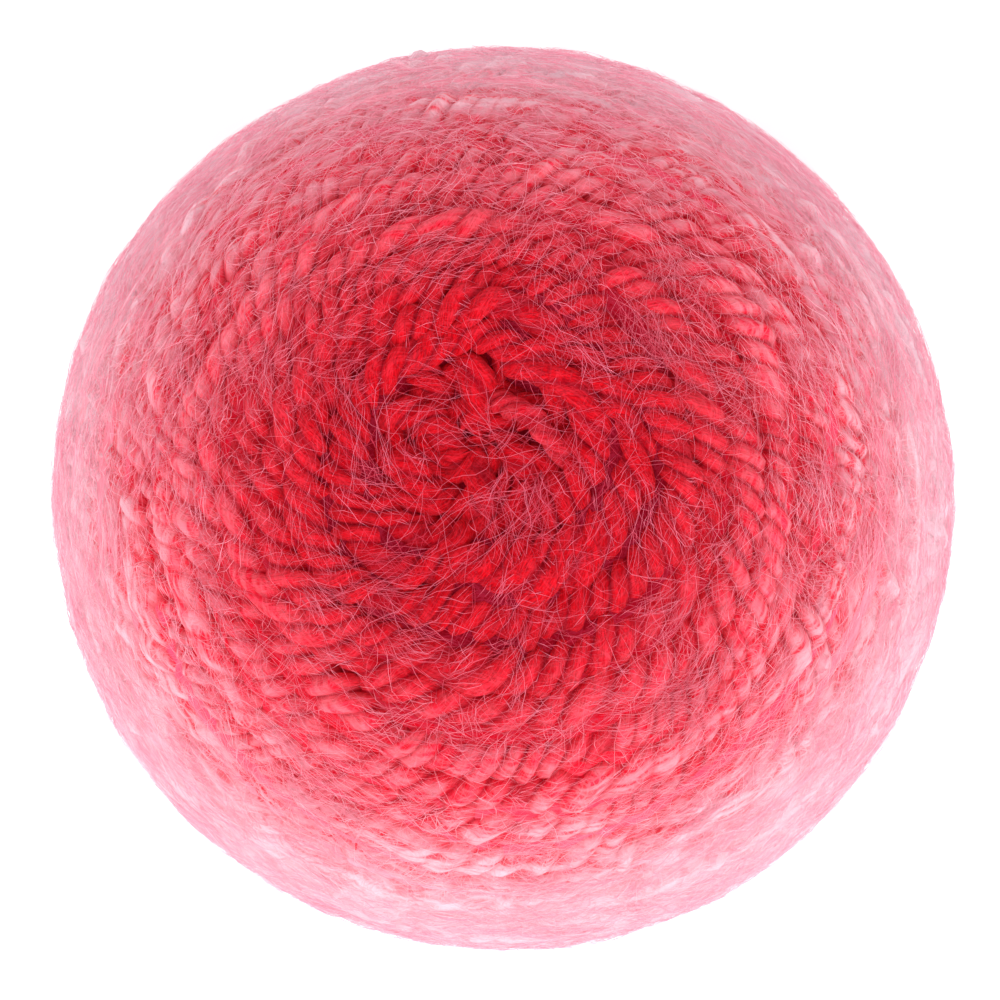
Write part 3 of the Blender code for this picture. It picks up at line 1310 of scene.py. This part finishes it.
@dataclass
class CrownStrands(Assembly):
    """The loose strands that cross the crown and tuck under their neighbours."""

    yarn: Yarn
    routes: dict[str, Route]
    tuck_depth: float = 5.0 * MM
    tuck_length: float = 9.0 * MM
    fine_steps: int = 40
    projections: int = 3

    def build(self) -> None:
        """Lays each strand along its route, dipping at both ends."""
        for name, route in self.routes.items():
            plan = self.smooth(np.array(route.points_mm) * MM)
            rows, distance = evenly_along(plan, self.yarn.step)
            number = np.arange(len(plan))
            plan = np.column_stack([np.interp(rows, number, plan[:, side]) for side in range(2)])
            to_end = np.minimum(distance, distance[-1] - distance)
            dip = self.tuck_depth * (1.0 - smooth_step(0.0, self.tuck_length, to_end))
            height = route.crest_mm * MM - route.thickness * self.yarn.radius - dip
            path = self.raise_plan(plan, height)
            outward = unit(path - self.winding.centre)
            thickness = np.full(len(path), route.thickness)
            along = path, outward, distance + route.yarn_start, thickness
            self.built.append(self.yarn.strand(f"crown_{name}", *along, self.winding, route.brushed))

    def smooth(self, points: Array) -> Array:
        """A Catmull-Rom curve, whose slope at a knot is half the step between the knot's neighbours.

        Args:
            points: The knots, one a row.

        Returns:
            Points along the curve, fine_steps for each stretch.
        """
        knots = np.vstack([2 * points[0] - points[1], points, 2 * points[-1] - points[-2]])
        before, start, end, after = knots[:-3], knots[1:-2], knots[2:-1], knots[3:]
        share = np.linspace(0.0, 1.0, self.fine_steps, endpoint=False)[:, None, None]
        square = 2 * before - 5 * start + 4 * end - after
        cubic = 3 * (start - end) + after - before
        curve = start + 0.5 * ((end - before) * share + square * share**2 + cubic * share**3)
        return np.vstack([curve.transpose(1, 0, 2).reshape(-1, 2), knots[-2]])

    def raise_plan(self, plan: Array, height: Array) -> Array:
        """Points of the crown over a plan, found by projecting it on the ball a few times.

        Args:
            plan: Points seen from above, in metres from the winding axis.
            height: Metres outside the envelope.

        Returns:
            One point a row.
        """
        reach = np.full(len(plan), self.winding.half_height)
        for _ in range(self.projections):
            level = np.sqrt(np.maximum(reach**2 - (plan**2).sum(axis=1), 0.0))
            direction = unit(np.column_stack([plan, level]))
            reach = self.winding.envelope(direction)
        return self.winding.place(direction, height)


@dataclass
class InnerLayer(Assembly):
    """The layer under the outer one: yarn painted dark with shade at the crown, and matted wool up in the
    grooves.
    """

    crown_depth: float = 3.3 * MM
    belly_depth: float = 1.2 * MM
    ridge: float = 0.9 * MM
    columns: int = 100
    rows_per_turn: int = 3
    floor_gap: float = 1.0 * MM

    def build(self) -> None:
        """A closed surface of rings round the axis, at a depth below the crests.

        The height is the crest's own, less the depth, plus ridge times the cosine of the turn,
        so that a groove of this layer lies under each crest of the outer one. With the halo,
        the depth goes from crown_depth to belly_depth and the ridge fades out.
        """
        winding = self.winding
        rows = int(winding.turns * self.rows_per_turn)
        turn, angle = np.meshgrid(
            np.linspace(0.0, winding.turns, rows + 1)[1:-1],
            np.arange(self.columns) * 2.0 * math.pi / self.columns,
            indexing="ij",
        )
        direction = winding.direction(turn, angle)
        over = winding.over(direction)
        depth = self.crown_depth + (self.belly_depth - self.crown_depth) * over
        ridge = self.ridge * (1.0 - over) * np.cos(2.0 * math.pi * turn - angle)
        rings = winding.place(direction, winding.crest(turn, angle) - depth - ridge, self.floor_gap)
        points = np.vstack([rings.reshape(-1, 3), rings[0].mean(axis=0), rings[-1].mean(axis=0)])
        number = np.arange(turn.size).reshape(turn.shape)
        made = add_mesh("inner_layer", points, skin(number, turn.size, turn.size + 1))
        add_maps(made, winding)
        add_point_value(made, HAZE_AND_LIGHT, np.append(over.ravel(), [0.0, 1.0]))
        self.built.append(made)


# The halo of fibres


class Lay(Enum):
    """How a layer of fibres lies."""

    COMBED = "mostly along the strands"
    TANGLED = "every way"
    GAPS = "along the gaps of the crown"

    @property
    def heading_spread(self) -> float:
        """How far headings stray from the strands, in radians."""
        return {Lay.COMBED: 0.5, Lay.TANGLED: 1.7, Lay.GAPS: 0.45}[self]


@dataclass(frozen=True)
class FibreLayer:
    """One layer of the halo.

    Attributes:
        name: The piece's name.
        lay: Which way the fibres lie.
        tufts: How many tufts there are over the ball, before it is thinned at the crown and foot.
        per_tuft: How many fibres a tuft has.
        spread: How far a tuft's fibres start apart.
        gather: How far they draw together towards their tips, from 0 to 1.
        length: The shortest and the longest fibre.
        points: How many points a fibre is drawn through.
        thickness: A fibre's full thickness.
        lift: How far its middle arches over its ends.
        tip: How far its free end stands off, at most.
        root: How far under the crests its fixed end starts.
        curl: How far it turns from end to end, in radians.
        crown_share: How thick the layer is at the crown, against the belly.
        foot_share: How thick it is at the foot.
        seed: The seed of its random draws.
    """

    name: str
    lay: Lay
    tufts: int
    per_tuft: int
    spread: float
    gather: float
    length: Pair
    points: int
    thickness: float
    lift: float
    tip: float
    root: float
    curl: float
    crown_share: float
    foot_share: float
    seed: int


@dataclass
class Halo(Assembly):
    """The fibres that brushing has raised from the yarn, in layers.

    Attributes:
        layers: The layers.
        sides: How many sides a fibre has.
        full_from: How far off the crown the layers are full.
        full_to: Where they start to thin towards the foot.
        floor_gap: The least height of a fibre over the floor.
        foot_level: The level under which no tuft starts.
        gap_turns: How many turns of the crown have fibres in their gaps.
        stray: How far a fibre strays from its tuft's heading and curl.
        wave: How far it waves, against its curl.
        least_tip, least_lift: The least tip and lift, as shares of the layer's.
        taper: The power of the sine that draws a fibre to its points.
        dark_bias: How many more fibres are dark than light.
    """

    layers: tuple[FibreLayer, ...]
    sides: int = 3
    full_from: float = math.radians(68.0)
    full_to: float = math.radians(95.0)
    floor_gap: float = 0.3 * MM
    foot_level: float = 5.0 * MM
    gap_turns: float = 10.0
    stray: float = 0.35
    wave: float = 0.35
    least_tip: float = -0.3
    least_lift: float = 0.1
    taper: float = 0.35
    dark_bias: float = 1.6

    def build(self) -> None:
        """Grows every layer."""
        for layer in self.layers:
            made = self.grow(layer)
            over = self.winding.over(unit(points_of(made) - self.winding.centre))
            add_point_value(made, HAZE_AND_LIGHT, over)
            self.built.append(made)

    def gaps(self, layer: FibreLayer, draw: np.random.Generator) -> Array:
        """Directions of tufts half way between the turns of the crown.

        Args:
            layer: The layer's sizes.
            draw: The layer's random draws.

        Returns:
            Unit vectors, one a row.
        """
        angle = draw.uniform(0.0, 2.0 * math.pi, layer.tufts)
        turn = self.gap_turns * np.sqrt(draw.uniform(size=layer.tufts))
        return self.winding.direction(np.floor(turn) + 0.5 + angle / (2.0 * math.pi), angle)

    def tufts(self, layer: FibreLayer, draw: np.random.Generator) -> Array:
        """Directions of a layer's tufts, even round the belly and thinned at crown and foot.

        Args:
            layer: The layer's sizes.
            draw: The layer's random draws.

        Returns:
            Unit vectors, one a row.
        """
        if layer.lay is Lay.GAPS:
            return self.gaps(layer, draw)
        level = draw.uniform(-1.0, 1.0, layer.tufts)
        angle = draw.uniform(0.0, 2.0 * math.pi, layer.tufts)
        flat = np.sqrt(1.0 - level**2)
        direction = np.column_stack([flat * np.cos(angle), flat * np.sin(angle), level])
        polar = self.winding.from_crown(direction)
        share = layer.crown_share + (1.0 - layer.crown_share) * smooth_step(0.0, self.full_from, polar)
        share = share + (layer.foot_share - share) * smooth_step(self.full_to, math.pi, polar)
        over_foot = self.winding.place(direction, np.zeros(layer.tufts))[:, 2] > self.foot_level
        return direction[(draw.uniform(size=layer.tufts) < share) & over_foot]

    def grow(self, layer: FibreLayer) -> bpy.types.Object:
        """One layer as a joined mesh of thin closed tubes.

        On the plane that touches the ball at its tuft, a fibre's heading is its first heading
        plus its curl times the share of the way, plus a sine wave, and its run is the sum of
        its steps along that heading. It starts off to one side of its tuft and draws in by
        the layer's gather. Its height rises from root to tip and arches between them.

        Args:
            layer: The layer's sizes.

        Returns:
            The layer's object.
        """
        draw = np.random.default_rng(layer.seed)
        tufts = self.tufts(layer, draw)
        of_tuft = np.repeat(np.arange(len(tufts)), layer.per_tuft)
        count = len(of_tuft)
        along = unit(np.cross(self.winding.direction(np.array(0.0), np.array(0.0)), tufts))
        down = np.cross(along, tufts)
        spread = layer.lay.heading_spread
        first = draw.normal(size=len(tufts)) * spread + math.pi * draw.integers(0, 2, len(tufts))
        first = first[of_tuft] + draw.normal(size=count) * self.stray
        curl = draw.uniform(-1.0, 1.0, len(tufts))[of_tuft] + draw.normal(size=count) * self.stray
        share = np.linspace(0.0, 1.0, layer.points)
        phase = draw.uniform(0.0, 2.0 * math.pi, count)[:, None]
        wave = self.wave * layer.curl * np.sin(2.0 * math.pi * share + phase)
        heading = first[:, None] + layer.curl * curl[:, None] * share + wave
        step = draw.uniform(*layer.length, count)[:, None] / (layer.points - 1)
        x = np.cumsum(step * np.cos(heading), axis=1)
        y = np.cumsum(step * np.sin(heading), axis=1)
        aside = draw.normal(size=(2, count)) * layer.spread
        drawn_in = 1.0 - layer.gather * share
        x = x + aside[0][:, None] * drawn_in
        y = y + aside[1][:, None] * drawn_in
        offset = x[..., None] * along[of_tuft][:, None] + y[..., None] * down[of_tuft][:, None]
        direction = unit(tufts[of_tuft][:, None] + offset / self.winding.ball_radius)
        tip = draw.uniform(self.least_tip, 1.0, count)[:, None] * layer.tip
        lift = draw.uniform(self.least_lift, 1.0, count)[:, None] * layer.lift
        root = -draw.uniform(0.0, 1.0, count)[:, None] * layer.root
        height = root + (tip - root) * share + 4.0 * lift * share * (1.0 - share)
        path = self.winding.place(direction, height, self.floor_gap)
        made = self.tubes(layer, path, direction)
        tint = draw.uniform(size=count) ** self.dark_bias
        add_point_value(made, TINT, np.repeat(tint, len(made.data.vertices) // count))
        return made

    def tubes(self, layer: FibreLayer, path: Array, outward: Array) -> bpy.types.Object:
        """Thin tubes along many paths at once, each of a few sides and drawn to a point at both ends.

        The radius is half the thickness times sin(pi * share)^taper, and a ring's point at angle
        a lies at that radius times (cos a * up + sin a * side) from the path.

        Args:
            layer: The layer's sizes.
            path: Points by fibre and place along it.
            outward: Unit vectors away from the ball at the points.

        Returns:
            The joined mesh object.
        """
        fibres, points, _ = path.shape
        body = (points - 2) * self.sides
        ahead = unit(np.gradient(path, axis=1))
        side = unit(np.cross(ahead, outward))
        up = np.cross(side, ahead)
        share = np.linspace(0.0, 1.0, points)[1:-1]
        radius = 0.5 * layer.thickness * np.sin(math.pi * share) ** self.taper
        angle = np.arange(self.sides) * 2.0 * math.pi / self.sides
        outline = np.cos(angle)[:, None] * up[:, 1:-1, None] + np.sin(angle)[:, None] * side[:, 1:-1, None]
        rings = path[:, 1:-1, None] + radius[None, :, None, None] * outline
        whole = np.concatenate([path[:, :1], rings.reshape(fibres, body, 3), path[:, -1:]], axis=1)
        number = 1 + np.arange(body).reshape(-1, self.sides)
        base = (np.arange(fibres) * (body + 2))[:, None, None]
        parts = [part for part in skin(number, 0, body + 1) if len(part)]
        faces = [(part + base).reshape(-1, part.shape[1]) for part in parts]
        return add_mesh(layer.name, whole.reshape(-1, 3), faces)


# The studio


@dataclass(frozen=True)
class SoftLight:
    """A large square light that faces the ball."""

    name: str
    azimuth: float
    elevation: float
    power: float
    size: float
    distance: float = 2.4

    def add(self, target: Array) -> None:
        """Hangs the light at its azimuth and elevation round the target, and turns it there.

        Args:
            target: The point it faces.
        """
        data = bpy.data.lights.new(self.name, "AREA")
        data.shape = "SQUARE"
        data.size = self.size
        data.energy = self.power
        lamp = bpy.data.objects.new(self.name, data)
        azimuth, elevation = math.radians(self.azimuth), math.radians(self.elevation)
        lamp.location = target + self.distance * np.array(
            [
                math.sin(azimuth) * math.cos(elevation),
                -math.cos(azimuth) * math.cos(elevation),
                math.sin(elevation),
            ]
        )
        lamp.rotation_euler = (math.pi / 2.0 - elevation, 0.0, azimuth)
        bpy.context.scene.collection.objects.link(lamp)


@dataclass
class Studio:
    """The floor, the lights and the camera over the ball."""

    winding: Winding
    floor_half: float = 3.0
    camera_distance: float = 1.1
    lens: float = 236.0
    camera_aside: Pair = (-0.5 * MM, -0.4 * MM)
    surround: float = 0.72
    lights: tuple[SoftLight, ...] = (
        SoftLight("key", azimuth=0.0, elevation=48.0, power=41.5, size=1.5),
        SoftLight("left_fill", azimuth=-98.0, elevation=35.0, power=15.5, size=1.5),
        SoftLight("right_fill", azimuth=98.0, elevation=35.0, power=15.5, size=1.5),
    )

    def build(self) -> None:
        """Adds the floor, the lights, the even surround and the camera, which looks straight down."""
        self.add_floor()
        for light in self.lights:
            light.add(self.winding.centre)
        world = bpy.data.worlds.new("even_surround")
        world.use_nodes = True
        surround = world.node_tree.nodes["Background"]
        surround.inputs["Color"].default_value = (1.0, 1.0, 1.0, 1.0)
        surround.inputs["Strength"].default_value = self.surround
        bpy.context.scene.world = world
        self.add_camera()
        bpy.context.scene.view_settings.view_transform = "Standard"

    def add_floor(self) -> None:
        """A square floor at the ball's foot."""
        reach = self.floor_half
        corners = np.array([[-reach, -reach], [reach, -reach], [reach, reach], [-reach, reach]])
        points = np.column_stack([corners, np.zeros(4)])
        floor = add_mesh("floor", points, [np.array([[0, 1, 2, 3]])])
        floor.data.materials.append(PaleFloor().material())

    def add_camera(self) -> None:
        """A long lens over the crown, with +Y at the top of the picture."""
        data = bpy.data.cameras.new("over_the_crown")
        data.lens = self.lens
        camera = bpy.data.objects.new("over_the_crown", data)
        aside = np.array([*self.camera_aside, self.camera_distance])
        centre = np.array([0.0, 0.0, self.winding.centre_height])
        camera.location = centre + aside
        bpy.context.scene.collection.objects.link(camera)
        bpy.context.scene.camera = camera


# The ball's own pieces

ROUTES = {
    "left_top": Route(-2.4, 0.85, 0.031, ((-21, 27), (-15.5, 23.5), (-12, 19.5), (-10, 15))),
    "left_bow": Route(-2.0, 1.0, 0.111, ((-26, 13), (-20, 15), (-13.5, 14), (-9.5, 9.5), (-9, 4))),
    "left_arc": Route(
        -2.2, 1.0, 0.203, ((-31, 12), (-27, 4), (-21.5, -2), (-16, -6.5), (-8, -8), (-1, -6))
    ),
    "left_inner": Route(-2.6, 0.9, 0.316, ((-22, 10), (-17, 5), (-13.5, 0), (-9, -4))),
    "right_slant": Route(-2.0, 1.0, 0.405, ((15, 3), (8, 1.5), (3, -1), (-2, -4.5))),
    "right_inner": Route(-2.5, 0.85, 0.512, ((10.5, 7.5), (5, 6), (1, 8), (-1.5, 12))),
    "heart": Route(-1.5, 0.95, 0.614, ((-5.5, 10), (-4, 4.5), (-3, -1), (-5.5, -6))),
    "upright": Route(-0.8, 0.9, 0.709, ((-7.5, 28), (-5.4, 22), (-4.4, 17), (-5, 12))),
    "hook": Route(-0.7, 0.85, 0.802, ((-1.5, 23), (3.6, 24.6), (8.4, 22), (9.4, 17), (8.4, 11))),
    "lower_sweep": Route(-0.2, 1.05, 0.907, ((-12, -13), (-4, -11.5), (5, -9.3), (13, -6.6), (20, -2))),
    "bridge": Route(0.2, 0.62, 0.052, ((-3, 17.5), (0.6, 16), (4.6, 12.8), (8.6, 9.2), (12, 4.5)), 0.09),
}

FIBRE_LAYERS = (
    FibreLayer(
        "wisps_combed", Lay.COMBED, tufts=190, per_tuft=20, spread=1.5 * MM, gather=0.9,
        length=(12.0 * MM, 24.0 * MM), points=8, thickness=0.068 * MM, lift=0.8 * MM, tip=0.9 * MM,
        root=1.0 * MM, curl=0.9, crown_share=0.8, foot_share=0.4, seed=11,
    ),
    FibreLayer(
        "wisps_tangled", Lay.TANGLED, tufts=300, per_tuft=14, spread=1.5 * MM, gather=0.85,
        length=(9.0 * MM, 18.0 * MM), points=7, thickness=0.062 * MM, lift=0.8 * MM, tip=0.7 * MM,
        root=1.0 * MM, curl=1.0, crown_share=0.9, foot_share=0.4, seed=12,
    ),
    FibreLayer(
        "gap_fibres", Lay.GAPS, tufts=260, per_tuft=7, spread=1.0 * MM, gather=0.7,
        length=(8.0 * MM, 18.0 * MM), points=6, thickness=0.055 * MM, lift=0.5 * MM, tip=0.4 * MM,
        root=1.8 * MM, curl=0.7, crown_share=1.0, foot_share=1.0, seed=16,
    ),
    FibreLayer(
        "flame_tufts", Lay.COMBED, tufts=560, per_tuft=13, spread=0.55 * MM, gather=0.8,
        length=(6.0 * MM, 12.0 * MM), points=5, thickness=0.10 * MM, lift=0.6 * MM, tip=1.1 * MM,
        root=0.4 * MM, curl=0.9, crown_share=0.25, foot_share=0.4, seed=15,
    ),
    FibreLayer(
        "loose_fibres", Lay.TANGLED, tufts=2800, per_tuft=3, spread=1.8 * MM, gather=0.2,
        length=(6.0 * MM, 13.0 * MM), points=5, thickness=0.055 * MM, lift=0.6 * MM, tip=0.7 * MM,
        root=0.8 * MM, curl=0.9, crown_share=0.5, foot_share=0.4, seed=13,
    ),
    FibreLayer(
        "short_fuzz", Lay.COMBED, tufts=10000, per_tuft=4, spread=1.0 * MM, gather=0.3,
        length=(3.0 * MM, 6.0 * MM), points=3, thickness=0.11 * MM, lift=0.35 * MM, tip=0.8 * MM,
        root=0.3 * MM, curl=0.7, crown_share=0.1, foot_share=0.4, seed=14,
    ),
)


def clear_startup() -> None:
    """Removes what the startup scene brought, and keeps the frame's own objects."""
    kept = {*frame["nodes"].values(), *frame["bodies"].values()}
    for obj in list(bpy.data.objects):
        if obj not in kept:
            bpy.data.objects.remove(obj, do_unlink=True)


def main() -> None:
    """Dresses the ball from the inside out, then sets the studio."""
    logging.basicConfig(level=logging.INFO, format="%(name)s: %(message)s")
    clear_startup()
    winding, yarn = Winding(), Yarn()
    wool = BrushedWool().material()
    dressed = (
        (InnerLayer(winding), ShadedWool().material()),
        (YarnTurns(winding, yarn), wool),
        (CrownStrands(winding, yarn, ROUTES), wool),
        (Halo(winding, FIBRE_LAYERS), FineFibre().material()),
    )
    for assembly, finish in dressed:
        assembly.build()
        assembly.dress(finish)
    Studio(winding).build()


if __name__ == "__main__":
    main()
